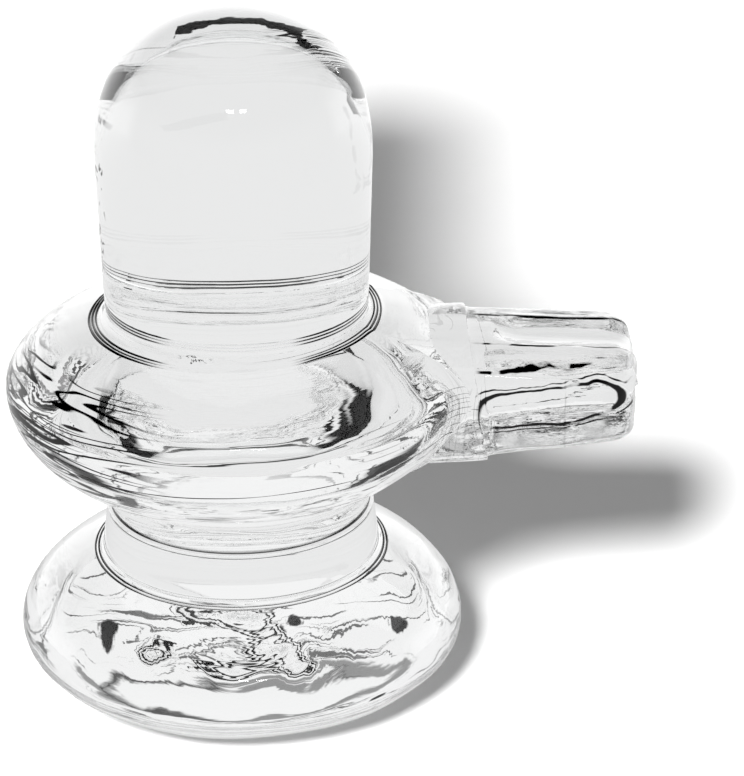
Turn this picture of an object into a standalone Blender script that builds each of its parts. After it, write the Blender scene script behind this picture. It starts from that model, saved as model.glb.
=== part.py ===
"""Clear crystal shiva lingam: a domed shaft on a round plate with a spout, a waist and a round base.

One solid piece, standing on its flat underside. The axis of the shaft is Z and the spout points along +X.
"""

import math

import bmesh
import bpy

MM = 0.001

# Base: a flattened ball with a flat foot ground on it.
BASE_RADIUS = 21.0 * MM
BASE_BELLY_HEIGHT = 5.45 * MM      # height of the widest line above the table
BASE_RISE = 9.85 * MM              # from the widest line up to the crown that the waist hides
BASE_FULLNESS = 2.05               # 2 is an ellipse, more is squarer
FOOT_RADIUS = 13.9 * MM

# Waist: a short drum on the base, then a ledge and a slightly thinner neck under the plate.
WAIST_LENGTH = 7.15 * MM
WAIST_RADIUS = 13.0 * MM
WAIST_TAPER = 0.5 * MM
DRUM_SHARE = 0.67                  # part of the waist's length that is drum
LEDGE_WIDTH = 0.35 * MM
WAIST_FILLET = 0.5 * MM            # where the drum stands on the base

# Plate: a thick round disc, flatter above its widest line than below it. It leans up towards the spout.
PLATE_RADIUS = 21.55 * MM
PLATE_RISE = 7.9 * MM
PLATE_DROP = 12.0 * MM
PLATE_FULLNESS = 2.0
PLATE_LEAN = 1.35                  # degrees

# Shaft and its dome.
SHAFT_LENGTH = 14.9 * MM
SHAFT_FOOT_RADIUS = 12.15 * MM
SHAFT_TOP_RADIUS = 12.55 * MM
SHAFT_FILLET = 1.1 * MM            # between the shaft and the plate's top
DOME_HEIGHT = 13.35 * MM
DOME_FULLNESS = 2.38

# Spout: a thick bar that narrows to a rounded tip. It leans with the plate.
SPOUT_REACH = 36.85 * MM           # from the axis to the tip
SPOUT_DROP = 1.75 * MM             # its centre line below the plate's widest line
SPOUT_HALF_WIDTH = 8.65 * MM       # where it leaves the plate
SPOUT_TIP_HALF_WIDTH = 7.7 * MM
SPOUT_HALF_HEIGHT = 5.75 * MM
SPOUT_TIP_HALF_HEIGHT = 4.45 * MM
SPOUT_FULLNESS = 4.0
TIP_LENGTH = 3.8 * MM              # length over which the tip rounds off
TIP_FULLNESS = 3.2
TIP_FLATTEN = 0.6                  # how much of the height the very tip loses

# Root: the collar of the plate that the spout comes out of.
ROOT_SWEEP = 2.5 * MM              # radius of the hollow curve from the plate's rim to the root's side
ROOT_STEP = 0.3 * MM               # the root stands proud of the spout by this much
ROOT_OVERHANG = 1.0 * MM           # it ends this far outside the hollow curve
ROOT_SLANT = 0.75 * MM             # its lower lip reaches this much further than its middle
ROOT_FULLNESS = 3.4

# Channel: a shallow trough along the top of the spout, open at the tip.
CHANNEL_WIDTH = 6.2 * MM
CHANNEL_DEPTH = 0.8 * MM
CHANNEL_START = 1.0 * MM           # from the root's end to where the trough begins

# Hidden ends, as shares of what hides them.
PLATE_CORE = 0.8                   # of the neck's radius
SPOUT_BACK = 0.85                  # of the distance to the hollow curve's end
ROOT_BACK = 0.7                    # of the same

# Fineness of the round shapes.
TURN_STEPS = 60
BELLY_STEPS = 9
DOME_STEPS = 10
SWEEP_STEPS = 5
RING_STEPS = 32
TIP_STEPS = 6
CUTTER_STEPS = 4
LAST_RING = 0.95                   # share of a quarter turn at which a rounded end closes flat
CRISP_ANGLE = 38.0                 # degrees; faces that meet more sharply keep a crisp edge


def bulge(share, radius, height, fullness):
    """Point on a quarter of a rounded outline, from its widest line (0) to its crown (1)."""
    angle = share * math.pi / 2
    across = radius * max(0.0, math.cos(angle)) ** (2 / fullness)
    up = height * math.sin(angle) ** (2 / fullness)
    return across, up


def rise_at(radius, full_radius, height, fullness):
    """Height of a rounded outline above its widest line where it has the given radius."""
    return height * (1 - (radius / full_radius) ** fullness) ** (1 / fullness)


def share_at(radius, full_radius, fullness):
    """Share of the quarter outline at which it has the given radius."""
    return math.acos((radius / full_radius) ** (fullness / 2)) / (math.pi / 2)


def corner(start, mid, end, steps):
    """Points of a soft corner from start to end, pulled towards mid, without its two ends."""
    points = []
    for i in range(1, steps):
        t = i / steps
        x = (1 - t) ** 2 * start[0] + 2 * t * (1 - t) * mid[0] + t ** 2 * end[0]
        z = (1 - t) ** 2 * start[1] + 2 * t * (1 - t) * mid[1] + t ** 2 * end[1]
        points.append((x, z))
    return points


def stack_heights():
    """Heights of the parts of the turned body, worked out from the table upwards."""
    crown = rise_at(WAIST_RADIUS, BASE_RADIUS, BASE_RISE, BASE_FULLNESS)
    waist_bottom = BASE_BELLY_HEIGHT + crown
    waist_top = waist_bottom + WAIST_LENGTH
    drop = rise_at(neck_radius(), PLATE_RADIUS, PLATE_DROP, PLATE_FULLNESS)
    plate_middle = waist_top + drop
    shaft_foot = plate_middle + rise_at(SHAFT_FOOT_RADIUS, PLATE_RADIUS, PLATE_RISE, PLATE_FULLNESS)
    dome_base = shaft_foot + SHAFT_LENGTH
    return waist_bottom, waist_top, plate_middle, shaft_foot, dome_base


def neck_radius():
    return WAIST_RADIUS - WAIST_TAPER - LEDGE_WIDTH


def column_outline():
    """Outline of dome, shaft, waist and base, from the top down their outer side to the underside."""
    waist_bottom, waist_top, plate_middle, shaft_foot, dome_base = stack_heights()
    points = [(0.0, dome_base + DOME_HEIGHT)]
    for i in range(DOME_STEPS - 1, -1, -1):
        across, up = bulge(i / DOME_STEPS, SHAFT_TOP_RADIUS, DOME_HEIGHT, DOME_FULLNESS)
        points.append((across, dome_base + up))

    # The shaft spreads into a fillet that sinks into the leaning plate.
    sink = 0.5 * SHAFT_FILLET
    fillet_top = (SHAFT_FOOT_RADIUS, shaft_foot + SHAFT_FILLET)
    fillet_mid = (SHAFT_FOOT_RADIUS, shaft_foot)
    fillet_end = (SHAFT_FOOT_RADIUS + SHAFT_FILLET, shaft_foot - sink)
    points.append(fillet_top)
    points.extend(corner(fillet_top, fillet_mid, fillet_end, 4))
    points.append(fillet_end)
    points.append((neck_radius(), shaft_foot - 2 * sink))

    # Neck, ledge and drum.
    ledge_height = waist_bottom + DRUM_SHARE * WAIST_LENGTH
    points.append((neck_radius(), ledge_height))
    points.append((neck_radius() + LEDGE_WIDTH, ledge_height))
    drum_foot = (WAIST_RADIUS, waist_bottom + WAIST_FILLET)
    skirt = WAIST_RADIUS + WAIST_FILLET
    skirt_height = BASE_BELLY_HEIGHT + rise_at(skirt, BASE_RADIUS, BASE_RISE, BASE_FULLNESS)
    points.append(drum_foot)
    points.extend(corner(drum_foot, (WAIST_RADIUS, waist_bottom), (skirt, skirt_height), 2))

    # The base, from the drum round its rim to the flat foot.
    first = share_at(skirt, BASE_RADIUS, BASE_FULLNESS)
    for i in range(BELLY_STEPS, -1, -1):
        across, up = bulge(first * i / BELLY_STEPS, BASE_RADIUS, BASE_RISE, BASE_FULLNESS)
        points.append((across, BASE_BELLY_HEIGHT + up))
    under = BASE_BELLY_HEIGHT / rise_at(FOOT_RADIUS, BASE_RADIUS, 1.0, BASE_FULLNESS)
    last = share_at(FOOT_RADIUS, BASE_RADIUS, BASE_FULLNESS)
    for i in range(1, BELLY_STEPS):
        across, down = bulge(last * i / BELLY_STEPS, BASE_RADIUS, under, BASE_FULLNESS)
        points.append((across, BASE_BELLY_HEIGHT - down))
    points.append((FOOT_RADIUS, 0.0))
    points.append((0.0, 0.0))
    return points


def root_side():
    return SPOUT_HALF_WIDTH + ROOT_STEP


def sweep_end():
    """Distance from the axis at which the hollow curve off the plate's rim meets the root's side."""
    return math.sqrt((PLATE_RADIUS + ROOT_SWEEP) ** 2 - (root_side() + ROOT_SWEEP) ** 2)


def plate_plan():
    """Outline of the plate seen from above: its circle, open towards +X into two hollow curves."""
    end = sweep_end()
    turn = math.atan2(root_side() + ROOT_SWEEP, end)
    points = []
    for i in range(TURN_STEPS + 1):
        angle = turn + (2 * math.pi - 2 * turn) * i / TURN_STEPS
        points.append((PLATE_RADIUS * math.cos(angle), PLATE_RADIUS * math.sin(angle)))
    hollow = []
    for i in range(1, SWEEP_STEPS + 1):
        angle = math.pi + turn + (math.pi / 2 - turn) * i / SWEEP_STEPS
        x = end + ROOT_SWEEP * math.cos(angle)
        hollow.append((x, root_side() + ROOT_SWEEP + ROOT_SWEEP * math.sin(angle)))
    points.extend((x, -y) for x, y in hollow)
    points.append((end, 0.0))
    points.extend(reversed(hollow))
    return points


def plate_body(name):
    """The plate: its plan outline, drawn in towards the axis along the rounded profile."""
    core = PLATE_CORE * neck_radius()
    last = share_at(core, PLATE_RADIUS, PLATE_FULLNESS)
    profile = []
    for i in range(BELLY_STEPS, 0, -1):
        across, down = bulge(last * i / BELLY_STEPS, 1.0, PLATE_DROP, PLATE_FULLNESS)
        profile.append((across, -down))
    for i in range(BELLY_STEPS + 1):
        across, up = bulge(last * i / BELLY_STEPS, 1.0, PLATE_RISE, PLATE_FULLNESS)
        profile.append((across, up))
    bm = bmesh.new()
    rings = []
    for share, z in profile:
        rings.append([bm.verts.new((share * x, share * y, z)) for x, y in plate_plan()])
    bridge(bm, rings)
    return bmesh_object(name, bm)


def mesh_object(name, verts, edges, faces):
    mesh = bpy.data.meshes.new(name)
    mesh.from_pydata(verts, edges, faces)
    mesh.update()
    obj = bpy.data.objects.new(name, mesh)
    bpy.context.scene.collection.objects.link(obj)
    return obj


def bmesh_object(name, bm):
    bmesh.ops.recalc_face_normals(bm, faces=bm.faces)
    mesh = bpy.data.meshes.new(name)
    bm.to_mesh(mesh)
    bm.free()
    obj = bpy.data.objects.new(name, mesh)
    bpy.context.scene.collection.objects.link(obj)
    return obj


def bridge(bm, rings):
    """Side faces between rings with the same number of points, and a face on each end."""
    count = len(rings[0])
    for near, far in zip(rings, rings[1:]):
        for i in range(count):
            j = (i + 1) % count
            bm.faces.new((near[i], near[j], far[j], far[i]))
    bm.faces.new(list(reversed(rings[0])))
    bm.faces.new(rings[-1])


def column_body(name):
    """Dome, shaft, waist and base, turned about Z by a Screw modifier."""
    points = column_outline()
    verts = [(x, 0.0, z) for x, z in points]
    edges = [(i, i + 1) for i in range(len(verts) - 1)]
    obj = mesh_object(name, verts, edges, [])
    screw = obj.modifiers.new("turn", "SCREW")
    screw.axis = "Z"
    screw.angle = 2 * math.pi
    screw.screw_offset = 0.0
    screw.steps = TURN_STEPS
    screw.render_steps = TURN_STEPS
    screw.use_merge_vertices = True
    screw.merge_threshold = 0.00001
    return obj


def loft(name, sections):
    """A closed body through rounded sections, each given as (x, centre height, half width, half height,
    fullness, slant)."""
    bm = bmesh.new()
    rings = []
    for x, middle, half_width, half_height, fullness, slant in sections:
        ring = []
        for i in range(RING_STEPS):
            angle = 2 * math.pi * (i + 0.5) / RING_STEPS
            side = math.copysign(abs(math.cos(angle)) ** (2 / fullness), math.cos(angle))
            up = math.copysign(abs(math.sin(angle)) ** (2 / fullness), math.sin(angle))
            ring.append(bm.verts.new((x - slant * up, half_width * side, middle + half_height * up)))
        rings.append(ring)
    bridge(bm, rings)
    return bmesh_object(name, bm)


def spout_back():
    """The spout's hidden end, inside the plate."""
    return SPOUT_BACK * sweep_end()


def spout_sizes(x):
    """Half width and half height of the spout at a distance from the axis."""
    share = (x - spout_back()) / (SPOUT_REACH - spout_back())
    half_width = SPOUT_HALF_WIDTH + (SPOUT_TIP_HALF_WIDTH - SPOUT_HALF_WIDTH) * share
    half_height = SPOUT_HALF_HEIGHT + (SPOUT_TIP_HALF_HEIGHT - SPOUT_HALF_HEIGHT) * share
    return half_width, half_height


def root_body(name):
    height = SPOUT_HALF_HEIGHT + ROOT_STEP
    end = sweep_end() + ROOT_OVERHANG
    return loft(name, [
        (ROOT_BACK * sweep_end(), -SPOUT_DROP, root_side(), height, ROOT_FULLNESS, 0.0),
        (end, -SPOUT_DROP, root_side(), height, ROOT_FULLNESS, ROOT_SLANT),
    ])


def spout_body(name):
    tip_start = SPOUT_REACH - TIP_LENGTH
    half_width, half_height = spout_sizes(spout_back())
    sections = [(spout_back(), -SPOUT_DROP, half_width, half_height, SPOUT_FULLNESS, 0.0)]
    for i in range(TIP_STEPS + 1):
        angle = LAST_RING * i / TIP_STEPS * math.pi / 2
        along = math.sin(angle) ** (2 / TIP_FULLNESS)
        narrowing = math.cos(angle) ** (2 / TIP_FULLNESS)
        x = tip_start + TIP_LENGTH * along
        half_width, half_height = spout_sizes(x)
        flattening = 1 - TIP_FLATTEN * (1 - narrowing)
        sections.append((x, -SPOUT_DROP, half_width * narrowing, half_height * flattening,
                         SPOUT_FULLNESS, 0.0))
    return loft(name, sections)


def channel_cutter(name):
    """A round-ended rod whose underside cuts the trough. It lies along the spout's sloping top."""
    half = CHANNEL_WIDTH / 2
    radius = (half ** 2 + CHANNEL_DEPTH ** 2) / (2 * CHANNEL_DEPTH)
    start = sweep_end() + ROOT_OVERHANG + CHANNEL_START + half
    finish = SPOUT_REACH + radius

    def axis_height(x):
        return spout_sizes(x)[1] - SPOUT_DROP - CHANNEL_DEPTH + radius

    sections = []
    for i in range(CUTTER_STEPS):
        angle = (1 - i / CUTTER_STEPS) * LAST_RING * math.pi / 2
        small = radius * math.cos(angle)
        sections.append((start - radius * math.sin(angle), axis_height(start), small, small, 2.0, 0.0))
    sections.append((start, axis_height(start), radius, radius, 2.0, 0.0))
    sections.append((finish, axis_height(finish), radius, radius, 2.0, 0.0))
    return loft(name, sections)


def combine(target, tool, operation, height):
    """Join a tool to the target or cut it out, once it is lifted to the plate and leaned with it."""
    tool.location.z = height
    tool.rotation_euler.y = -math.radians(PLATE_LEAN)
    tool.hide_render = True
    tool.display_type = "WIRE"
    modifier = target.modifiers.new(tool.name, "BOOLEAN")
    modifier.operation = operation
    modifier.solver = "EXACT"
    modifier.object = tool


def settle(target):
    """Make the joined shape the target's own mesh, shaded smooth between its crisp edges."""
    bpy.context.view_layer.update()
    shaped = target.evaluated_get(bpy.context.evaluated_depsgraph_get())
    mesh = bpy.data.meshes.new_from_object(shaped)
    mesh.shade_smooth()
    mesh.set_sharp_from_angle(angle=math.radians(CRISP_ANGLE))
    tools = [modifier.object for modifier in target.modifiers if modifier.type == "BOOLEAN"]
    target.modifiers.clear()
    target.data = mesh
    for tool in tools:
        bpy.data.objects.remove(tool)


def crystal_material():
    material = bpy.data.materials.new("clear_crystal")
    material.use_nodes = True
    shader = material.node_tree.nodes["Principled BSDF"]
    shader.inputs["Base Color"].default_value = (0.93, 0.94, 0.94, 1.0)
    shader.inputs["Roughness"].default_value = 0.03
    shader.inputs["Metallic"].default_value = 0.0
    shader.inputs["IOR"].default_value = 1.52
    shader.inputs["Alpha"].default_value = 0.35
    return material


for old in list(bpy.data.objects):
    bpy.data.objects.remove(old)

plate_height = stack_heights()[2]
lingam = column_body("shiva_lingam")
combine(lingam, plate_body("plate_tool"), "UNION", plate_height)
combine(lingam, root_body("root_tool"), "UNION", plate_height)
combine(lingam, spout_body("spout_tool"), "UNION", plate_height)
combine(lingam, channel_cutter("channel_tool"), "DIFFERENCE", plate_height)
settle(lingam)
lingam.data.materials.append(crystal_material())
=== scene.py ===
import math

import bmesh
import bpy
from mathutils import Matrix, Vector, kdtree, noise


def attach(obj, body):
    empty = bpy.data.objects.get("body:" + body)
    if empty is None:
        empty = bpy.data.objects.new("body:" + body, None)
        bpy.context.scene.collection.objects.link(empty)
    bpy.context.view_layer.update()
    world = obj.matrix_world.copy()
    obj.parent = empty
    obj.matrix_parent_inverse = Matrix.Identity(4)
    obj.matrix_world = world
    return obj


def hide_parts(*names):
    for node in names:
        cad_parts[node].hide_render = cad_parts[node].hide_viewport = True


# Crystal shiva lingam on a white table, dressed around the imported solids.
# Sizes are in millimetres unless a note says otherwise.

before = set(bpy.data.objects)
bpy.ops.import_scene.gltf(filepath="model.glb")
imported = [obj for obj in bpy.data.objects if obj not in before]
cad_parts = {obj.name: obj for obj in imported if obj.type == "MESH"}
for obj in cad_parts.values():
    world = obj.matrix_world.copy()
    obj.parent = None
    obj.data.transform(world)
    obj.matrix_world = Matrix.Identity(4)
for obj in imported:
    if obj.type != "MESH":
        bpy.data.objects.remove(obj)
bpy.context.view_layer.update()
mm = 0.001
print("frame loaded")


class Sock:
    # One output socket of a material, so that shading maths reads like plain maths.

    def __init__(self, tree, socket):
        self.tree = tree
        self.socket = socket

    def node(self, kind, settings=None, **values):
        # Any node: its type, then its settings, then what goes into its sockets.
        made = self.tree.nodes.new(kind)
        for name, value in (settings or {}).items():
            setattr(made, name, value)
        for name, value in values.items():
            target = made.inputs[name.replace("_", " ")]
            if isinstance(value, Sock):
                self.tree.links.new(value.socket, target)
            else:
                target.default_value = value
        return made

    def out(self, made, name=0):
        return Sock(self.tree, made.outputs[name])

    def maths(self, operation, other=None, swap=False, clamp=False):
        made = self.tree.nodes.new("ShaderNodeMath")
        made.operation = operation
        made.use_clamp = clamp
        sides = [self] if other is None else ([other, self] if swap else [self, other])
        for i, side in enumerate(sides):
            if isinstance(side, Sock):
                self.tree.links.new(side.socket, made.inputs[i])
            else:
                made.inputs[i].default_value = side
        return Sock(self.tree, made.outputs[0])

    def __add__(self, other):
        return self.maths("ADD", other)

    def __radd__(self, other):
        return self.maths("ADD", other, swap=True)

    def __sub__(self, other):
        return self.maths("SUBTRACT", other)

    def __rsub__(self, other):
        return self.maths("SUBTRACT", other, swap=True)

    def __mul__(self, other):
        return self.maths("MULTIPLY", other)

    def __rmul__(self, other):
        return self.maths("MULTIPLY", other, swap=True)

    def __truediv__(self, other):
        return self.maths("DIVIDE", other)

    def __rtruediv__(self, other):
        return self.maths("DIVIDE", other, swap=True)

    def __pow__(self, other):
        return self.maths("POWER", other)

    def __gt__(self, other):
        return self.maths("GREATER_THAN", other)

    def __lt__(self, other):
        return self.maths("LESS_THAN", other)

    def __abs__(self):
        return self.maths("ABSOLUTE")

    def clamp(self):
        return self.maths("ADD", 0.0, clamp=True)

    def ramp(self, low, high, toLow=0.0, toHigh=1.0):
        made = self.node("ShaderNodeMapRange", {"interpolation_type": "SMOOTHSTEP"}, Value=self)
        made.inputs["From Min"].default_value = low
        made.inputs["From Max"].default_value = high
        made.inputs["To Min"].default_value = toLow
        made.inputs["To Max"].default_value = toHigh
        return self.out(made)


def startMaterial(name):
    material = bpy.data.materials.new(name)
    material.use_nodes = True
    tree = material.node_tree
    shader = tree.nodes["Principled BSDF"]
    coords = Sock(tree, tree.nodes.new("ShaderNodeTexCoord").outputs["Object"])
    return material, tree, shader, coords


def colourMix(tree, factor, first, second):
    mix = tree.nodes.new("ShaderNodeMix")
    mix.data_type = "RGBA"
    for socket, value in ((mix.inputs[0], factor), (mix.inputs[6], first), (mix.inputs[7], second)):
        if isinstance(value, Sock):
            tree.links.new(value.socket, socket)
        else:
            socket.default_value = value
    return Sock(tree, mix.outputs[2])


# The crystal's sizes.

body = {
    "baseRadius": 21.0, "baseBelly": 5.45, "baseRise": 9.85, "baseFullness": 2.05, "footRadius": 13.9,
    "waistLength": 7.15, "waistRadius": 13.0, "waistTaper": 0.5, "drumShare": 0.61, "ledge": 0.35,
    "waistFillet": 0.3,
    "scores": 2, "footScores": 3,    # fine lines cut round the foot of the waist and of the shaft
    "wallScores": 3, "scoreGap": 0.32, "scoreDepth": 0.1,
    "plateRadius": 21.55, "plateRise": 7.9, "plateDrop": 12.0, "plateFullness": 2.0, "plateLean": 1.35,
    "shaftLength": 14.9, "shaftFoot": 12.15, "shaftTop": 12.55, "shaftFillet": 0.5,
    "domeHeight": 13.35, "domeFullness": 2.38,
    "spoutReach": 36.85, "spoutDrop": 1.75, "spoutWidth": 8.65, "tipWidth": 7.7,
    "spoutHeight": 5.75, "tipHeight": 4.45, "spoutFullness": 4.0,
    "tipLength": 3.8, "tipFullness": 3.2, "tipFlatten": 0.6,
    "rootSweep": 2.5, "rootStep": 0.3, "rootOverhang": 1.0, "rootSlant": 0.75, "rootFullness": 3.4,
    "channelWidth": 6.2, "channelDepth": 0.8, "channelStart": 1.0,
    "spacing": 0.46,          # between rings of the turned surface
    "domeArc": 21.0, "plateTopArc": 15.0, "plateUnderArc": 17.0,    # rough lengths of the profile's
    "baseTopArc": 14.0, "baseUnderArc": 10.0,                       # curves, for their number of rings
    "filletSteps": 11, "bendSteps": 5,
    "rimRings": (1, 3, 5, 8),      # rings above and below the plate's rim that carry a painted dark line, painted shade
    "underRings": (1, 3, 6, 9),
    "scoreHalf": 0.1,         # half the width of a cut line
    "ledgeSmall": 0.06,       # the ledge's rounded edge
    "spoutSteps": 128, "rootSteps": 96, "tipRings": 18, "rootRings": 14,
    "around": 230,            # steps round the circle
    "crisp": 24.0,            # degrees, sharper edges than this stay crisp
    "waveSize": 8.0,          # long waves of the hand-ground surface, and how deep they are
    "waveDepth": 0.13,
    "rippleSize": 3.0,        # short ones
    "rippleDepth": 0.03,
    "ringSize": 1.6,          # turning rings
    "ringDepth": 0.03,
    "drawnDepth": 0.13,       # lengthwise waves of the spout
    "kneadDepth": 0.05,       # short folds where the spout joins
    "bedDepth": 0.035,        # waves of the flat underside
    "highest": 0.75,          # where a wave's noise value leaves the surface as it is
    "drawnSize": (7.0, 1.7),  # along and across the spout
    "kneadSize": 1.9,
    "bedSize": (4.5, 2.6),
}


def bulge(share, radius, height, fullness):
    angle = share * math.pi / 2
    across = radius * max(0.0, math.cos(angle)) ** (2 / fullness)
    return across, height * math.sin(angle) ** (2 / fullness)


def riseAt(radius, full, height, fullness):
    return height * (1 - (radius / full) ** fullness) ** (1 / fullness)


def shareAt(radius, full, fullness):
    return math.acos((radius / full) ** (fullness / 2)) / (math.pi / 2)


def bend(start, mid, end, steps):
    points = []
    for i in range(1, steps):
        t = i / steps
        points.append(tuple((1 - t) ** 2 * a + 2 * t * (1 - t) * b + t ** 2 * c
                            for a, b, c in zip(start, mid, end)))
    return points


def swell(value, low, high):
    # 0 below low, 1 above high and a soft step between them.
    t = min(1.0, max(0.0, (value - low) / (high - low)))
    return t * t * (3 - 2 * t)


def evenly(points, spacing):
    # The same line with points about one spacing apart, its own corners kept.
    result = [points[0]]
    for a, b in zip(points, points[1:]):
        length = math.hypot(b[0] - a[0], b[1] - a[1])
        steps = max(1, round(length / spacing))
        for i in range(1, steps + 1):
            t = i / steps
            result.append((a[0] + (b[0] - a[0]) * t, a[1] + (b[1] - a[1]) * t))
    return result


def rootSide(s):
    return s["spoutWidth"] + s["rootStep"]


def sweepEnd(s):
    return math.sqrt((s["plateRadius"] + s["rootSweep"]) ** 2 - (rootSide(s) + s["rootSweep"]) ** 2)


def neckRadius(s):
    return s["waistRadius"] - s["waistTaper"] - s["ledge"]


def baseTop(radius, s):
    return s["baseBelly"] + riseAt(radius, s["baseRadius"], s["baseRise"], s["baseFullness"])


def plateTop(radius, s):
    # above the plate's widest ring
    return riseAt(radius, s["plateRadius"], s["plateRise"], s["plateFullness"])


def heights(s):
    waistBottom = baseTop(s["waistRadius"], s)
    waistTop = waistBottom + s["waistLength"]
    plate = waistTop + riseAt(neckRadius(s), s["plateRadius"], s["plateDrop"], s["plateFullness"])
    foot = plate + plateTop(s["shaftFoot"], s)
    return waistBottom, waistTop, plate, foot, foot + s["shaftLength"]


def arcSteps(length, spacing):
    return max(4, round(length / spacing))


def bodyProfile(s):
    # (radius, height, share of the plate) from the top of the dome to the middle of the underside,
    # and which of these rings carry a painted dark line: painted shade in the cut lines, at the ledge and
    # on the plate's rim.
    waistBottom, waistTop, plate, foot, domeBase = heights(s)
    gap = s["spacing"]
    rows = []
    paintedShadeRings = {}
    steps = arcSteps(s["domeArc"], gap)
    for i in range(steps, -1, -1):
        across, up = bulge(i / steps, s["shaftTop"], s["domeHeight"], s["domeFullness"])
        rows.append((across, domeBase + up, 0.0))
    filletTop = (s["shaftFoot"], foot + s["shaftFillet"])
    outer = s["shaftFoot"] + s["shaftFillet"]
    filletEnd = (outer, plate + plateTop(outer, s))
    wallEnd = (s["shaftFoot"], filletTop[1] + 0.5 * s["scoreGap"] + s["scoreGap"] * s["wallScores"])
    wall = evenly([(s["shaftTop"], domeBase), wallEnd], gap)
    rows.extend((x, z, 0.0) for x, z in wall[1:])
    for i in range(s["wallScores"]):
        z = wallEnd[1] - 0.5 * s["scoreGap"] - s["scoreGap"] * i
        paintedShadeRings[len(rows) + 1] = "shaftFoot"
        rows.append((s["shaftFoot"], z + s["scoreHalf"], 0.0))
        rows.append((s["shaftFoot"] - 0.5 * s["scoreDepth"], z, 0.0))
        rows.append((s["shaftFoot"], z - s["scoreHalf"], 0.0))
    rows.append(filletTop + (0.0,))
    curve = bend(filletTop, (s["shaftFoot"], foot), filletEnd, s["filletSteps"])
    for i, (x, z) in enumerate(curve):
        deep = 0.6 * s["scoreDepth"] * (i % 2)
        rows.append((x + deep, z - deep, (i + 1) / s["filletSteps"]))
    for i in range(s["footScores"]):
        for step, deep in ((0.04, 0.0), (0.14, s["scoreDepth"]), (0.24, 0.0)):
            across = outer + step + s["scoreGap"] * i
            up = plateTop(across, s)
            if deep:
                paintedShadeRings[len(rows)] = "shaftFoot"
            rows.append((across, plate + up - deep, 1.0))
    outer += s["scoreGap"] * s["footScores"]
    first = shareAt(outer, s["plateRadius"], s["plateFullness"])
    steps = arcSteps(s["plateTopArc"], gap)
    for i in range(steps, 0, -1):
        across, up = bulge(first * i / steps, s["plateRadius"], s["plateRise"], s["plateFullness"])
        rows.append((across, plate + up, 1.0))
        if i in s["rimRings"]:
            paintedShadeRings[len(rows)] = "rim"
            for step in (0.3, 0.5):
                share = first * (i - step) / steps
                across, up = bulge(share, s["plateRadius"], s["plateRise"], s["plateFullness"])
                rows.append((across, plate + up, 1.0))
    last = shareAt(neckRadius(s) + 0.4, s["plateRadius"], s["plateFullness"])
    steps = arcSteps(s["plateUnderArc"], gap)
    for i in range(steps + 1):
        across, down = bulge(last * i / steps, s["plateRadius"], s["plateDrop"], s["plateFullness"])
        rows.append((across, plate - down, 1.0))
        if i in s["underRings"]:
            paintedShadeRings[len(rows)] = "underRim" if i == s["underRings"][-1] else "rim"
            for step in (0.25, 0.5):
                share = last * (i + step) / steps
                across, down = bulge(share, s["plateRadius"], s["plateDrop"], s["plateFullness"])
                rows.append((across, plate - down, 1.0))
    neckTop = (neckRadius(s), waistTop - 0.5)
    end = rows[-1][:2]
    for i, (x, z) in enumerate(bend(end, (neckRadius(s), waistTop), neckTop, s["bendSteps"])):
        rows.append((x, z, 1 - (i + 1) / s["bendSteps"]))
    ledge = waistBottom + s["drumShare"] * s["waistLength"]
    small = s["ledgeSmall"]
    shoulder = neckRadius(s) + s["ledge"]
    drumFoot = (s["waistRadius"], waistBottom + s["waistFillet"])
    corners = [neckTop, (neckRadius(s), ledge + small)]
    rows.extend((x, z, 0.0) for x, z in evenly(corners, gap))
    paintedShadeRings[len(rows) - 1] = "ring"
    line = [(neckRadius(s) + small, ledge)]
    line.append((shoulder - small, ledge))
    line.append((shoulder, ledge - small))
    line.append((shoulder, ledge - 0.26))
    rows.extend((x, z, 0.0) for x, z in line)
    paintedShadeRings[len(rows)] = "ring"
    line = [(shoulder - s["scoreDepth"], ledge - 0.34), (shoulder, ledge - 0.42)]
    line.extend(evenly([(shoulder, ledge - 0.6), drumFoot], gap))
    skirt = s["waistRadius"] + s["waistFillet"]
    skirtPoint = (skirt, baseTop(skirt, s))
    line.extend(bend(drumFoot, (s["waistRadius"], waistBottom), skirtPoint, s["bendSteps"]))
    rows.extend((x, z, 0.0) for x, z in line)
    for i in range(s["scores"]):
        for step, deep in ((0.06, 0.0), (0.15, s["scoreDepth"]), (0.24, 0.0)):
            across = skirt + step + s["scoreGap"] * i
            if deep:
                paintedShadeRings[len(rows)] = "ring"
            rows.append((across, baseTop(across, s) - deep, 0.0))
    first = shareAt(skirt + s["scoreGap"] * s["scores"], s["baseRadius"], s["baseFullness"])
    steps = arcSteps(s["baseTopArc"], gap)
    for i in range(steps, 0, -1):
        across, up = bulge(first * i / steps, s["baseRadius"], s["baseRise"], s["baseFullness"])
        rows.append((across, s["baseBelly"] + up, 0.0))
    under = s["baseBelly"] / riseAt(s["footRadius"], s["baseRadius"], 1.0, s["baseFullness"])
    last = shareAt(s["footRadius"], s["baseRadius"], s["baseFullness"])
    steps = arcSteps(s["baseUnderArc"], gap)
    for i in range(steps):
        across, down = bulge(last * i / steps, s["baseRadius"], under, s["baseFullness"])
        rows.append((across, s["baseBelly"] - down, 0.0))
    rows.append((s["footRadius"], 0.0, 0.0))
    steps = round(s["footRadius"] / gap)
    for i in range(1, steps):
        rows.append((s["footRadius"] * (1 - i / steps), 0.0, 0.0))
    return rows, paintedShadeRings


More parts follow.
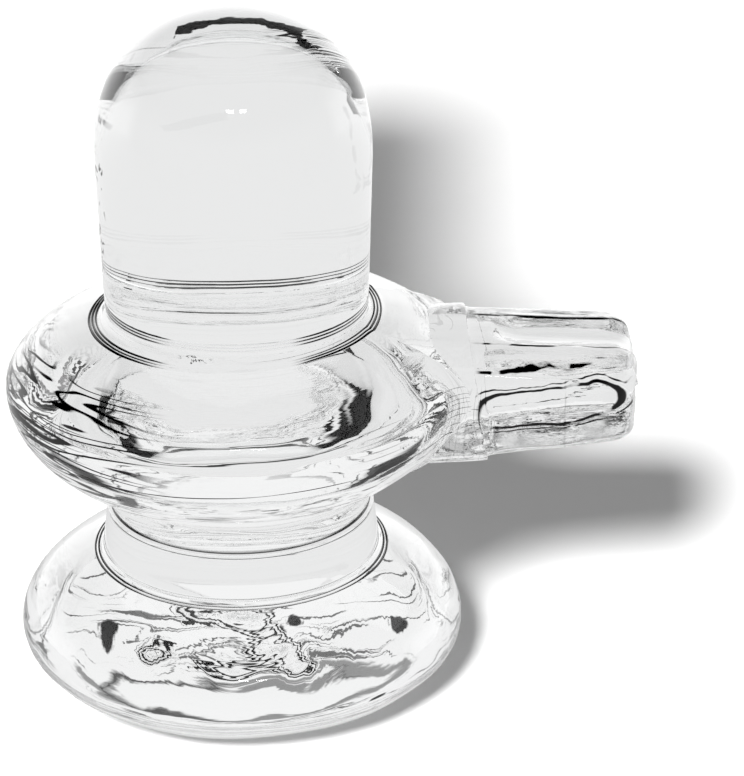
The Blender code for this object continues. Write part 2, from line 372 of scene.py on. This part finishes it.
def platePlan(s):
    # The plate from above: its circle, then the hollow curves into the spout's root.
    end = sweepEnd(s)
    turn = math.atan2(rootSide(s) + s["rootSweep"], end)
    points = []
    for i in range(s["around"] + 1):
        angle = turn + (2 * math.pi - 2 * turn) * i / s["around"]
        points.append((s["plateRadius"] * math.cos(angle), s["plateRadius"] * math.sin(angle)))
    hollow = []
    for i in range(1, 11):
        angle = math.pi + turn + (math.pi / 2 - turn) * i / 10
        hollow.append((end + s["rootSweep"] * math.cos(angle),
                       rootSide(s) + s["rootSweep"] + s["rootSweep"] * math.sin(angle)))
    points.extend((x, -y) for x, y in hollow)
    front = 16
    edge = rootSide(s)
    for i in range(1, front):
        points.append((end, -edge + 2 * edge * i / front))
    points.extend(reversed(hollow))
    return points


def meshFrom(name, verts, faces):
    mesh = bpy.data.meshes.new(name)
    mesh.from_pydata([Vector(v) * mm for v in verts], [], faces)
    bm = bmesh.new()
    bm.from_mesh(mesh)
    bmesh.ops.remove_doubles(bm, verts=bm.verts, dist=0.000002)
    bmesh.ops.recalc_face_normals(bm, faces=bm.faces)
    bm.to_mesh(mesh)
    bm.free()
    thing = bpy.data.objects.new(name, mesh)
    bpy.context.scene.collection.objects.link(thing)
    return thing


def lean(point, share, s):
    # Tips the plate and its spout up a little towards +X, about the plate's centre.
    middle = heights(s)[2]
    angle = math.radians(s["plateLean"]) * share
    x, y, z = point
    z -= middle
    return (x * math.cos(angle) - z * math.sin(angle), y,
            middle + x * math.sin(angle) + z * math.cos(angle))


def paintedShadeAt(kind, angle, row):
    # How dark a line of painted shade is, by the direction from the axis: the camera is at 268 to 270
    # degrees.
    turn = math.degrees(angle) % 360
    patchy = 0.5 + 0.9 * noise.noise(Vector((2.5 * math.cos(angle), 2.5 * math.sin(angle), len(kind))))
    if kind == "shaftFoot":
        streak = 0.75 + 0.9 * noise.noise(Vector((2.0 * math.cos(angle), 2.0 * math.sin(angle), 1.7 * row)))
        return streak * (1 - 0.99 * swell(abs(turn - 268), 44, 20))
    if kind == "rim":
        return patchy * (swell(abs(turn - 195), 42, 25) + 0.6 * swell(abs(turn - 318), 30, 12))
    if kind == "underRim":
        return patchy
    return 0.3 + 0.3 * swell(abs(turn - 270), 35, 70)


paintedShadePoints = []


def makeTurned(s):
    plan = platePlan(s)
    angles = [math.atan2(y, x) for x, y in plan]
    reach = [math.hypot(x, y) / s["plateRadius"] for x, y in plan]
    rows, paintedShadeRings = bodyProfile(s)
    count = len(plan)
    inner = neckRadius(s)
    verts = []
    for i, (radius, z, share) in enumerate(rows):
        for angle, far in zip(angles, reach):
            spread = max(0.0, radius - inner) / (s["plateRadius"] - inner)
            r = radius + share * spread * (far - 1) * s["plateRadius"]
            verts.append(lean((r * math.cos(angle), r * math.sin(angle), z), share, s))
            # the rings that carry painted shade keep their points and how dark the painted shade is
            if i in paintedShadeRings:
                paintedShadePoints.append((Vector(verts[-1]) * mm, paintedShadeAt(paintedShadeRings[i], angle, i)))
    faces = []
    for i in range(len(rows) - 1):
        for j in range(count):
            k = (j + 1) % count
            faces.append((i * count + j, i * count + k, (i + 1) * count + k, (i + 1) * count + j))
    middle = len(verts)
    verts.append((0.0, 0.0, 0.0))
    start = (len(rows) - 1) * count
    for j in range(count):
        faces.append((start + j, start + (j + 1) % count, middle))
    return meshFrom("turned", verts, faces)


def section(halfWidth, halfHeight, fullness, steps):
    points = []
    for i in range(steps):
        angle = 2 * math.pi * (i + 0.5) / steps
        side = math.copysign(abs(math.cos(angle)) ** (2 / fullness), math.cos(angle))
        up = math.copysign(abs(math.sin(angle)) ** (2 / fullness), math.sin(angle))
        points.append((halfWidth * side, halfHeight * up))
    return points


def loftFaces(rings, count):
    faces = []
    for i in range(rings - 1):
        for j in range(count):
            k = (j + 1) % count
            faces.append((i * count + j, i * count + k, (i + 1) * count + k, (i + 1) * count + j))
    faces.append(tuple(range(count)))
    faces.append(tuple(reversed(range((rings - 1) * count, rings * count))))
    return faces


def spoutSizes(x, s):
    back = 0.85 * sweepEnd(s)
    share = (x - back) / (s["spoutReach"] - back)
    return (s["spoutWidth"] + (s["tipWidth"] - s["spoutWidth"]) * share,
            s["spoutHeight"] + (s["tipHeight"] - s["spoutHeight"]) * share)


def makeSpout(s):
    steps = s["spoutSteps"]
    tipStart = s["spoutReach"] - s["tipLength"]
    back = 0.85 * sweepEnd(s)
    stations = []
    run = round((tipStart - back) / s["spacing"])
    for i in range(run):
        stations.append((back + (tipStart - back) * i / run, 1.0))
    for i in range(s["tipRings"] + 1):
        angle = 0.985 * i / s["tipRings"] * math.pi / 2
        along = math.sin(angle) ** (2 / s["tipFullness"])
        stations.append((tipStart + s["tipLength"] * along, math.cos(angle) ** (2 / s["tipFullness"])))
    plate = heights(s)[2]
    begin = sweepEnd(s) + s["rootOverhang"] + s["channelStart"]
    half = s["channelWidth"] / 2
    verts = []
    for x, narrowing in stations:
        width, height = spoutSizes(x, s)
        width *= narrowing
        height *= 1 - s["tipFlatten"] * (1 - narrowing)
        entry = min(1.0, max(0.0, (x - begin) / (1.3 * half)))
        entry = math.sqrt(1 - (1 - entry) ** 2)
        for y, z in section(width, height, s["spoutFullness"], steps):
            across = abs(y) / half
            if z > 0 and across < entry:
                z -= s["channelDepth"] * (entry ** 2 - across ** 2)
            verts.append(lean((x, y, plate - s["spoutDrop"] + z), 1.0, s))
    return meshFrom("spout", verts, loftFaces(len(stations), steps))


def makeRoot(s):
    steps = s["rootSteps"]
    plate = heights(s)[2]
    height = s["spoutHeight"] + s["rootStep"]
    end = sweepEnd(s) + s["rootOverhang"]
    back = 0.7 * sweepEnd(s)
    verts = []
    rings = s["rootRings"]
    for i in range(rings):
        t = i / (rings - 1)
        trim = 0.12 if i == rings - 1 else 0.0
        for y, z in section(rootSide(s) - trim, height - trim, s["rootFullness"], steps):
            x = back + (end - back) * t - t * s["rootSlant"] * z / height
            verts.append(lean((x, y, plate - s["spoutDrop"] + z), 1.0, s))
    return meshFrom("root", verts, loftFaces(rings, steps))


def unite(target, tool):
    join = target.modifiers.new("join", "BOOLEAN")
    join.operation = "UNION"
    join.solver = "EXACT"
    join.object = tool
    bpy.context.view_layer.update()
    mesh = bpy.data.meshes.new_from_object(target.evaluated_get(bpy.context.evaluated_depsgraph_get()))
    target.modifiers.clear()
    target.data = mesh
    bpy.data.objects.remove(tool)


def handGround(thing, s):
    # Hand polishing leaves waves and faint turning rings. They go inward only.
    waistBottom, waistTop, plate, foot, domeBase = heights(s)
    mesh = thing.data
    normals = [v.normal.copy() for v in mesh.vertices]
    for vert, normal in zip(mesh.vertices, normals):
        x, y, z = vert.co / mm
        r = math.hypot(x, y)
        turn = math.atan2(y, x)
        shaft = swell(z, foot - 0.5, foot + 2.0)
        spout = swell(x, 19.0, 23.0)
        waist = swell(z, waistBottom - 0.5, waistBottom + 1.0) * swell(z, waistTop + 0.5, waistTop - 1.0)
        under = swell(normal.z, -0.9, -0.99) * swell(z, 0.2, 0.05)
        calm = (1 - 0.8 * shaft) * (1 - 0.9 * waist)
        low = noise.noise(Vector((x, y, z)) / s["waveSize"])
        small = noise.noise(Vector((x + 31.0, y, z)) / s["rippleSize"])
        rings = noise.noise(Vector((r / s["ringSize"] + 0.9 * math.cos(2 * turn),
                                    z / s["ringSize"] + 0.9 * math.sin(turn + 1.0),
                                    0.8 * math.cos(turn))))
        along, across = s["drawnSize"]
        drawn = noise.noise(Vector((x / along, y / across, z / across + 5.0)))
        knead = noise.noise(Vector((x / s["kneadSize"], y / s["kneadSize"], z / s["kneadSize"] + 3.0)))
        along, across = s["bedSize"]
        bed = noise.noise(Vector((x / along, y / across, 9.0)))
        root = swell(math.hypot(x - 20.5, 0.6 * y), 8.0, 4.0)
        most = s["highest"]
        rise = (s["waveDepth"] * calm * (low - most) + s["rippleDepth"] * calm * (small - most)
                + s["ringDepth"] * calm * (1 - spout) * (rings - most)
                + s["drawnDepth"] * spout * (drawn - most) + s["kneadDepth"] * root * (knead - most))
        fade = swell(z, 0.0, 1.8)
        if under > 0:
            fade = swell(s["footRadius"] - r, 0.3, 2.0)
            rise = s["bedDepth"] * (bed - most) + s["rippleDepth"] * (small - most)
        vert.co += normal * mm * fade * min(0.0, rise)


def markPaintedShade(thing):
    # Each point of the joined mesh that lies in a marked line gets that line's painted shade.
    tree = kdtree.KDTree(len(paintedShadePoints))
    for i, (place, value) in enumerate(paintedShadePoints):
        tree.insert(place, i)
    tree.balance()
    paintedShade = thing.data.attributes.new("paintedShade", "FLOAT", "POINT")
    for i, vert in enumerate(thing.data.vertices):
        near, index, gone = tree.find(vert.co)
        paintedShade.data[i].value = paintedShadePoints[index][1] if gone < 0.00002 else 0.0


def makeLingam(s):
    thing = makeTurned(s)
    print("turned body", len(thing.data.vertices), "points")
    unite(thing, makeRoot(s))
    unite(thing, makeSpout(s))
    # the painted shade of the marked rings goes onto the joined mesh as a point attribute
    markPaintedShade(thing)
    handGround(thing, s)
    thing.name = "crystalLingam"
    thing.data.name = "crystalLingam"
    thing.data.shade_smooth()
    thing.data.set_sharp_from_angle(angle=math.radians(s["crisp"]))
    print("crystal", len(thing.data.vertices), "points", len(thing.data.polygons), "faces")
    return thing


glass = {
    "colour": (0.97, 0.975, 0.975, 1.0),
    "ior": 1.5,
    "paintedDarkColour": (0.0, 0.0, 0.0, 1.0),    # of the painted dark lines: painted shade and painted dark reflections
    "lines": 1.3,             # turned lines per millimetre
    "lineDepth": 0.000011,    # metres
    "foldDepth": 4.0,         # the spout's folds, times lineDepth
    "smear": 0.012,           # most roughness that handling leaves
    "spoutFrom": (20.0, 24.0),    # pairs in millimetres: where a part starts or ends, softly
    "shaftFrom": (38.5, 36.5),
    "waistFrom": (12.5, 14.0),
    "waistTo": (22.0, 20.0),
    "baseTo": (15.0, 13.0),
    "plateFrom": (22.0, 24.0),
    # the drawn lines: dark marks painted on the skin, painted dark reflections that stand for lines which
    # the photograph shows there
    "spoutLines": 0.95,
    "channelEdge": 3.2,       # from the middle of the spout to each edge line
    "loopMiddle": (28.2, 29.4), "loopHalf": (6.6, 1.75), "loopPower": 2.6, "loopSlope": 0.05,
    "outerLoop": 1.24,        # a second loop round the first, times its size
    "brink": 32.6,
    "frontLine": 29.7,
    "foldedReflections": 0.8,
    "rimCount": 15.0, "foldCount": 11.0,
    "foldPlace": (19.6, -8.0), "eyePlace": (19.0, 9.0),
    "tickSide": (-11.2, -12.0), "tickFrom": (40.0, 42.0), "tickTo": (58.0, 56.0),
}


def skinHeight(coords, x, y, z, reach, s):
    # Turned lines on the body and lengthwise folds on the spout, for the bump.
    turned = coords.node("ShaderNodeCombineXYZ", X=reach * s["lines"], Y=z * s["lines"], Z=y / reach * 1.5)
    lines = coords.node("ShaderNodeTexNoise", Vector=coords.out(turned), Scale=1.0, Detail=2.0)
    drawn = coords.node("ShaderNodeCombineXYZ", X=x * 0.12, Y=y * 0.9, Z=z * 0.9)
    folds = coords.node("ShaderNodeTexNoise", Vector=coords.out(drawn), Scale=1.0, Detail=3.0)
    spout = x.ramp(*s["spoutFrom"])
    below = z.ramp(*s["shaftFrom"]) * (1.0 - spout)
    waist = z.ramp(*s["waistFrom"]) * z.ramp(*s["waistTo"])
    height = coords.out(lines, "Fac") * below * (1.0 - 0.9 * waist) * (1.0 - 0.5 * z.ramp(*s["baseTo"]))
    return height + coords.out(folds, "Fac") * spout * s["foldDepth"]


def spoutPaintedReflections(coords, x, y, level, s):
    # Painted dark reflections: two lines along the channel, and on the front face two loops, a top line and
    # an upright line.
    sway = coords.node("ShaderNodeTexNoise", Vector=coords, Scale=190.0, Detail=3.0)
    sway = coords.out(sway, "Fac") - 0.5
    edges = (abs(abs(y) - s["channelEdge"] + sway * 1.5) - 0.03).ramp(0.22, 0.1)
    edges = edges * level.ramp(31.4, 32.0) * x.ramp(*s["spoutFrom"])
    front = y.ramp(-5.5, -6.5) * x.ramp(21.0, 22.5)
    power = s["loopPower"]
    middle = s["loopMiddle"]
    long = abs(x - middle[0] + sway * 1.6) / s["loopHalf"][0]
    tall = abs(level - middle[1] + sway * 2.2 - (x - 28.0) * s["loopSlope"]) / s["loopHalf"][1]
    size = (long ** power + tall ** power) ** 0.385
    loop = (size - 1.0).maths("ABSOLUTE").ramp(0.11, 0.03)
    second = (size - s["outerLoop"] + sway * 0.3).maths("ABSOLUTE").ramp(0.06, 0.01)
    brink = (abs(level - s["brink"] + sway * 1.2) - 0.02).ramp(0.16, 0.04)
    frontLine = abs(x - s["frontLine"] + sway * 0.8).ramp(0.16, 0.04) * 0.35
    breaks = coords.node("ShaderNodeTexNoise", Vector=coords, Scale=420.0, Detail=2.0)
    breaks = coords.out(breaks, "Fac").ramp(0.36, 0.5)
    return (edges + front * (loop + second + brink + frontLine)).clamp() * (0.3 + 0.7 * breaks)


def foldedPaintedReflections(coords, x, y, z, reach, level, s):
    # Folded dark lines, like the lines of a map, at the plate's left rim and beside the spout's root:
    # painted dark reflections.
    rimWay = coords.node("ShaderNodeCombineXYZ", X=reach * 0.32, Y=z * 0.32, Z=y / reach * 0.9)
    rimField = coords.node("ShaderNodeTexNoise", Vector=coords.out(rimWay), Scale=1.0, Detail=1.5)
    rimLines = (coords.out(rimField, "Fac") * s["rimCount"]).maths("FRACT") - 0.5
    plateZone = z.ramp(*s["plateFrom"])
    rimZone = reach.ramp(16.5, 18.5) * x.ramp(-3.0, -12.0) * y.ramp(4.0, -4.0) * plateZone
    foldWay = coords.node("ShaderNodeCombineXYZ", X=x * 0.3, Y=y * 0.22, Z=z * 0.08)
    foldField = coords.node("ShaderNodeTexNoise", Vector=coords.out(foldWay), Scale=1.0, Detail=1.0)
    foldLines = (coords.out(foldField, "Fac") * s["foldCount"]).maths("FRACT") - 0.5
    gone, eye = (((x - across) ** 2.0 + (y - back) ** 2.0) ** 0.5
                 for across, back in (s["foldPlace"], s["eyePlace"]))
    foldZone = (gone.ramp(4.6, 2.6) * level.ramp(32.6, 31.0) + eye.ramp(2.8, 1.8)).clamp() * plateZone
    return abs(rimLines).ramp(0.2, 0.06) * rimZone + abs(foldLines).ramp(0.16, 0.04) * foldZone * 0.4


def tickPaintedReflections(coords, x, z, s):
    # Short dark ticks down the shaft's left edge: painted dark reflections.
    ticks = coords.node("ShaderNodeTexNoise", Vector=coords, Scale=700.0, Detail=2.0)
    zone = x.ramp(*s["tickSide"]) * z.ramp(*s["tickFrom"]) * z.ramp(*s["tickTo"])
    return coords.out(ticks, "Fac").ramp(0.6, 0.66) * zone


def glassMaterial(s):
    material, tree, shader, coords = startMaterial("clearCrystal")
    shader.inputs["IOR"].default_value = s["ior"]
    shader.inputs["Transmission Weight"].default_value = 1.0
    split = coords.node("ShaderNodeSeparateXYZ", Vector=coords)
    x, y, z = (coords.out(split, i) * 1000.0 for i in range(3))
    reach = (x * x + y * y + 0.01) ** 0.5
    level = z - x * math.tan(math.radians(body["plateLean"]))
    height = skinHeight(coords, x, y, z, reach, s)
    bump = coords.node("ShaderNodeBump", Strength=1.0, Distance=s["lineDepth"], Height=height)
    tree.links.new(bump.outputs["Normal"], shader.inputs["Normal"])
    # the marked rings carry painted shade, which darkens the base colour
    paintedRingLines = coords.node("ShaderNodeAttribute", {"attribute_name": "paintedShade"})
    # the drawn marks add painted dark reflections to the base colour
    paintedReflectionLines = spoutPaintedReflections(coords, x, y, level, s) * s["spoutLines"]
    paintedReflectionLines = paintedReflectionLines + foldedPaintedReflections(coords, x, y, z, reach, level, s) * s["foldedReflections"]
    paintedReflectionLines = (paintedReflectionLines + tickPaintedReflections(coords, x, z, s)).ramp(0.1, 0.65)
    # painted shade and painted dark reflections together darken the crystal's base colour
    paintedDarkness = (coords.out(paintedRingLines, "Fac").ramp(0.03, 0.28) + paintedReflectionLines).clamp()
    colour = colourMix(tree, paintedDarkness, s["colour"], s["paintedDarkColour"])
    tree.links.new(colour.socket, shader.inputs["Base Color"])
    smears = coords.node("ShaderNodeTexNoise", Vector=coords, Scale=90.0, Detail=4.0)
    amount = coords.out(smears, "Fac").ramp(0.55, 0.8, 0.0, s["smear"])
    tree.links.new(amount.socket, shader.inputs["Roughness"])
    return material


lingam = makeLingam(body)
lingam.data.materials.clear()
lingam.data.materials.append(glassMaterial(glass))
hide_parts("shiva_lingam")
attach(lingam, "root")
print("crystal dressed")


# Table, lamps and camera.

studio = {
    "floorRadius": 2.6,       # metres, out to where the table starts to curve up
    "rimRadius": 0.9,
    "rimRise": 0.34,
    "floorColour": (0.9, 0.9, 0.9, 1.0),
    "keyPower": 6.2,
    "keyWidth": 12.0,         # degrees across
    "keyAzimuth": 250.0,
    "keyElevation": 38.0,
    "fillPower": 0.85,
    "tableGlow": 0.86,        # what the crystal sees of the table
    "edgeGlow": 1.6,          # what its skin mirrors of the table and walls behind
    "wallGlow": 0.95,
    "wallDark": 0.006,
    "gapFrom": (0.58, 0.63),  # the dark gap's edges, as heights on a round sky of radius 1
    "gapTo": (0.84, 0.78),
    "gapBack": (-0.16, 0.04),     # where the gap opens towards the back
    "sidesFrom": (0.16, 0.22), "sidesTo": (0.6, 0.55), "sidesOut": (0.78, 0.9),
    "skirtingFrom": (0.145, 0.16), "skirtingTo": (0.19, 0.175),
    "slatSize": (2.6, 2.6, 55.0),
    "marks": (                # dark spots: azimuth, elevation, size
        (68.0, 20.0, 0.05),
        (97.0, 23.5, 0.035),
        (118.0, 19.0, 0.045),
    ),
    "wallAway": 1500.0,       # the wall that only the skin mirrors
    "wallHigh": 900.0,
    "tableWide": 3000.0,
    # an unseen flag that throws the whole shadow right of the shaft, as the photograph has it
    "flag": ((-36, -26, 80), (-8, -26, 80), (-4, 62, 80), (-30, 62, 80)),
}


def place(name, mesh, rays):
    # A stage object that only the named kinds of ray can see.
    thing = bpy.data.objects.new(name, mesh)
    bpy.context.scene.collection.objects.link(thing)
    for kind in ("camera", "diffuse", "glossy", "transmission", "shadow"):
        setattr(thing, "visible_" + kind, kind in rays)
    return thing


def makeFloor(s):
    # A round table top that sweeps up into a low rim, so no edge shows from any side.
    rings = [0.05, 0.2, 0.6, 1.2, 2.0, s["floorRadius"]]
    profile = [(r, 0.0) for r in rings]
    for i in range(1, 17):
        angle = i / 16 * math.pi / 3
        share = (1 - math.cos(angle)) / (1 - math.cos(math.pi / 3))
        profile.append((s["floorRadius"] + s["rimRadius"] * math.sin(angle), s["rimRise"] * share))
    bm = bmesh.new()
    around = 96
    middle = bm.verts.new((0.0, 0.0, 0.0))
    last = None
    for r, z in profile:
        turns = [2 * math.pi * i / around for i in range(around)]
        ring = [bm.verts.new((r * math.cos(turn), r * math.sin(turn), z)) for turn in turns]
        for i in range(around):
            j = (i + 1) % around
            if last is None:
                bm.faces.new((middle, ring[i], ring[j]))
            else:
                bm.faces.new((last[i], ring[i], ring[j], last[j]))
        last = ring
    mesh = bpy.data.meshes.new("table")
    bm.to_mesh(mesh)
    bm.free()
    mesh.shade_smooth()
    floor = place("table", mesh, ("camera",))
    floor.location.z = -0.00005
    material, tree, shader, coords = startMaterial("whiteTable")
    shader.inputs["Roughness"].default_value = 0.9
    grain = coords.node("ShaderNodeTexNoise", Vector=coords, Scale=40.0, Detail=3.0)
    tone = coords.out(grain, "Fac").ramp(0.3, 0.7)
    low = tuple(0.985 * c for c in s["floorColour"][:3]) + (1.0,)
    colour = colourMix(tree, tone, low, s["floorColour"])
    tree.links.new(colour.socket, shader.inputs["Base Color"])
    # from 0.25 m outwards the table glows: painted light that keeps the far table and its rim white
    split = coords.node("ShaderNodeSeparateXYZ", Vector=coords)
    x, y = coords.out(split, 0), coords.out(split, 1)
    away = (x * x + y * y) ** 0.5
    far = colourMix(tree, away.ramp(0.25, 0.8), (0.0, 0.0, 0.0, 1.0), (0.9, 0.9, 0.9, 1.0))
    tree.links.new(far.socket, shader.inputs["Emission Color"])
    shader.inputs["Emission Strength"].default_value = 1.0
    mesh.materials.append(material)


def fadeMaterial(name, strength):
    # A glow that is low in front and over head and full behind.
    material = glowMaterial(name, strength)
    tree = material.node_tree
    coords = Sock(tree, tree.nodes.new("ShaderNodeTexCoord").outputs["Object"])
    split = coords.node("ShaderNodeSeparateXYZ", Vector=coords)
    y, z = coords.out(split, 1), coords.out(split, 2)
    tone = y.ramp(-0.1, 0.35, 0.25, 1.0) * z.ramp(0.9, 0.15)
    fade = colourMix(tree, tone, (0.0, 0.0, 0.0, 1.0), (1.0, 1.0, 1.0, 1.0))
    tree.links.new(fade.socket, tree.nodes["Principled BSDF"].inputs["Emission Color"])
    return material


def glowMaterial(name, strength):
    material, tree, shader, coords = startMaterial(name)
    shader.inputs["Base Color"].default_value = (0.0, 0.0, 0.0, 1.0)
    shader.inputs["Roughness"].default_value = 1.0
    shader.inputs["Specular IOR Level"].default_value = 0.0
    shader.inputs["Emission Color"].default_value = (1.0, 1.0, 1.0, 1.0)
    shader.inputs["Emission Strength"].default_value = strength
    return material


def makeCard(name, corners, rays, strength, finish=glowMaterial):
    # A flat card with its corners given in millimetres.
    mesh = bpy.data.meshes.new(name)
    mesh.from_pydata([Vector(c) * mm for c in corners], [], [tuple(range(len(corners)))])
    mesh.materials.append(finish(name, strength))
    return place(name, mesh, rays)


def ringOf(radius, z, steps=64):
    return [(radius * math.cos(2 * math.pi * i / steps), radius * math.sin(2 * math.pi * i / steps), z)
            for i in range(steps)]


cards = {
    # black strips on the table in front and at both sides, which the dome shows along its edge
    "front": ((-29, -37.5), (-20, -41), (-4, -43), (12, -42.5), (23, -41), (25, -46.5), (14, -47.5),
              (-4, -46.5), (-18, -46.5), (-28, -43.5)),
    "left": ((-120, -16), (-60, -20), (-46, -32), (-66, -50), (-98, -56), (-118, -44)),
    "right": ((48, -24), (78, -26), (112, -14), (110, -48), (80, -54), (50, -42)),
    "backLeft": ((-86, 20), (-70, 46), (-58, 42), (-57, 24)),
}


strips = {
    # dark strips of cloth that the spout shows as lengthwise lines
    "near": ((4, -58), (40, -56), (40, -61), (4, -62)),
    "middle": ((4, -84), (34, -86), (34, -93), (4, -90)),
    "far": ((14, 176), (44, 172), (44, 186), (14, 184)),
}


def makeCards(s):
    makeCard("tableGlow", ringOf(s["tableWide"], -0.1), ("transmission",), s["tableGlow"])
    makeCard("tableShine", ringOf(s["tableWide"], -0.12), ("glossy",), s["edgeGlow"], fadeMaterial)
    for name, plan in cards.items():
        makeCard(name + "Card", [(x, y, -0.02) for x, y in plan], ("transmission",), 0.0)
    for name, plan in strips.items():
        makeCard(name + "Strip", [(x, y, -0.02) for x, y in plan], ("transmission",), 0.0)
    low = ringOf(s["wallAway"], 0.0)
    high = ringOf(s["wallAway"], s["wallHigh"])
    steps = len(low)
    each = steps // 8
    for i in range(0, steps, each):
        part = [low[(i + k) % steps] for k in range(each + 1)]
        part.extend(high[(i + k) % steps] for k in range(each, -1, -1))
        makeCard("rimWall" + str(i // each), part, ("glossy",), s["edgeGlow"], fadeMaterial)
    makeCard("shadowFlag", s["flag"], ("shadow",), 0.0)


def makeWorld(s):
    # Pale walls all round, with a dark gap half way up that is open at the back.
    world = bpy.data.worlds.new("studio")
    bpy.context.scene.world = world
    world.use_nodes = True
    world.cycles_visibility.diffuse = False
    world.cycles_visibility.glossy = False
    tree = world.node_tree
    background = tree.nodes["Background"]
    coords = Sock(tree, tree.nodes.new("ShaderNodeTexCoord").outputs["Generated"])
    split = coords.node("ShaderNodeSeparateXYZ", Vector=coords)
    x, y, z = (coords.out(split, i) for i in range(3))
    level = (x * x + y * y + 0.0001) ** 0.5
    facing = y / level
    across = x / level
    back = facing.ramp(*s["gapBack"])
    front = (0.0 - facing).ramp(0.8, 0.95)
    gap = z.ramp(*s["gapFrom"]) * z.ramp(*s["gapTo"]) * (1.0 - back) * (1.0 - 0.55 * front)
    stretch = coords.node("ShaderNodeMapping", Vector=coords)
    stretch.inputs["Scale"].default_value = s["slatSize"]
    slats = coords.node("ShaderNodeTexNoise", Vector=coords.out(stretch), Scale=1.0, Detail=3.0)
    slats = coords.out(slats, "Fac")
    sides = abs(across).ramp(*s["sidesOut"]) * z.ramp(*s["sidesFrom"]) * z.ramp(*s["sidesTo"])
    sides = sides * slats.ramp(0.47, 0.53)
    skirting = z.ramp(*s["skirtingFrom"]) * z.ramp(*s["skirtingTo"])
    slats = slats.ramp(0.58, 0.64) * z.ramp(0.13, 0.18) * z.ramp(0.95, 0.88)
    glow = s["wallGlow"] * (1.0 - gap) * (1.0 - sides) * (1.0 - 0.7 * skirting) * (1.0 - 0.85 * slats)
    for azimuth, elevation, size in s["marks"]:
        turn = math.radians(azimuth)
        rise = math.radians(elevation)
        spot = (math.cos(turn) * math.cos(rise), math.sin(turn) * math.cos(rise), math.sin(rise))
        gone = coords.node("ShaderNodeVectorMath", {"operation": "DISTANCE"}, Vector=coords)
        gone.inputs[1].default_value = spot
        glow = glow * coords.out(gone, "Value").ramp(0.7 * size, size)
    glow = glow + s["wallDark"]
    background.inputs["Color"].default_value = (1.0, 1.0, 1.0, 1.0)
    tree.links.new(glow.socket, background.inputs["Strength"])


def makeSun(name, power, width, azimuth, elevation):
    light = bpy.data.lights.new(name, "SUN")
    light.angle = math.radians(width)
    light.energy = power
    lamp = bpy.data.objects.new(name, light)
    lamp.visible_glossy = False
    lamp.visible_transmission = False
    turn = math.radians(azimuth)
    rise = math.radians(elevation)
    direction = Vector((math.cos(turn) * math.cos(rise), math.sin(turn) * math.cos(rise), math.sin(rise)))
    lamp.rotation_euler = direction.to_track_quat("Z", "Y").to_euler()
    bpy.context.scene.collection.objects.link(lamp)


sparks = {
    # two small panes of light that the front of the shaft mirrors
    # azimuth, elevation, width and height in degrees
    "left": (268.0, 42.0, 5.5, 3.0),
    "right": (281.0, 42.0, 5.0, 3.0),
    "power": 14.0,
    "away": 900.0,
}


def makeSparks(s):
    for name in ("left", "right"):
        azimuth, elevation, width, height = s[name]
        turn = math.radians(azimuth)
        rise = math.radians(elevation)
        out = Vector((math.cos(turn) * math.cos(rise), math.sin(turn) * math.cos(rise), math.sin(rise)))
        side = Vector((-math.sin(turn), math.cos(turn), 0.0))
        up = out.cross(side)
        centre = out * s["away"]
        half = side * s["away"] * math.radians(width) / 2
        tall = up * s["away"] * math.radians(height) / 2
        corners = [centre - half - tall, centre + half - tall, centre + half + tall, centre - half + tall]
        makeCard(name + "Spark", corners, ("glossy",), s["power"])


camera = {
    "target": (12.37, 0.0, 28.69),    # before the turn
    "turn": -1.76,                    # degrees, so that +X follows the spout
    "elevation": 24.43,
    "roll": -0.206,
    "away": 329.07,
    "lens": 171.95,
}


def makeCamera(s):
    rise = math.radians(s["elevation"])
    turn = math.radians(s["turn"])
    roll = math.radians(s["roll"])
    back = Vector((0.0, -math.cos(rise), math.sin(rise)))
    right = Vector((1.0, 0.0, 0.0))
    up = back.cross(right)
    spot = Vector(s["target"]) + back * s["away"]
    rightRolled = right * math.cos(roll) + up * math.sin(roll)
    upRolled = up * math.cos(roll) - right * math.sin(roll)
    data = bpy.data.cameras.new("photoCamera")
    data.sensor_width = 36.0
    data.sensor_fit = "HORIZONTAL"
    data.lens = s["lens"]
    data.clip_start = 0.01
    data.clip_end = 20.0
    thing = bpy.data.objects.new("photoCamera", data)
    axes = Matrix((rightRolled, upRolled, back)).transposed()
    spin = Matrix.Rotation(turn, 3, "Z")
    thing.matrix_world = Matrix.Translation((spin @ spot) * mm) @ (spin @ axes).to_4x4()
    bpy.context.scene.collection.objects.link(thing)
    bpy.context.scene.camera = thing


makeFloor(studio)
makeCards(studio)
makeWorld(studio)
makeSun("key", studio["keyPower"], studio["keyWidth"], studio["keyAzimuth"], studio["keyElevation"])
makeSun("fill", studio["fillPower"], 170.0, 0.0, 90.0)
makeSparks(sparks)
makeCamera(camera)
scene = bpy.context.scene
scene.view_settings.view_transform = "Standard"
# light that turns round inside the crystal needs more bounces than usual, or it ends in black
scene.cycles.max_bounces = 24
scene.cycles.glossy_bounces = 16
scene.cycles.transmission_bounces = 24
print("stage set")
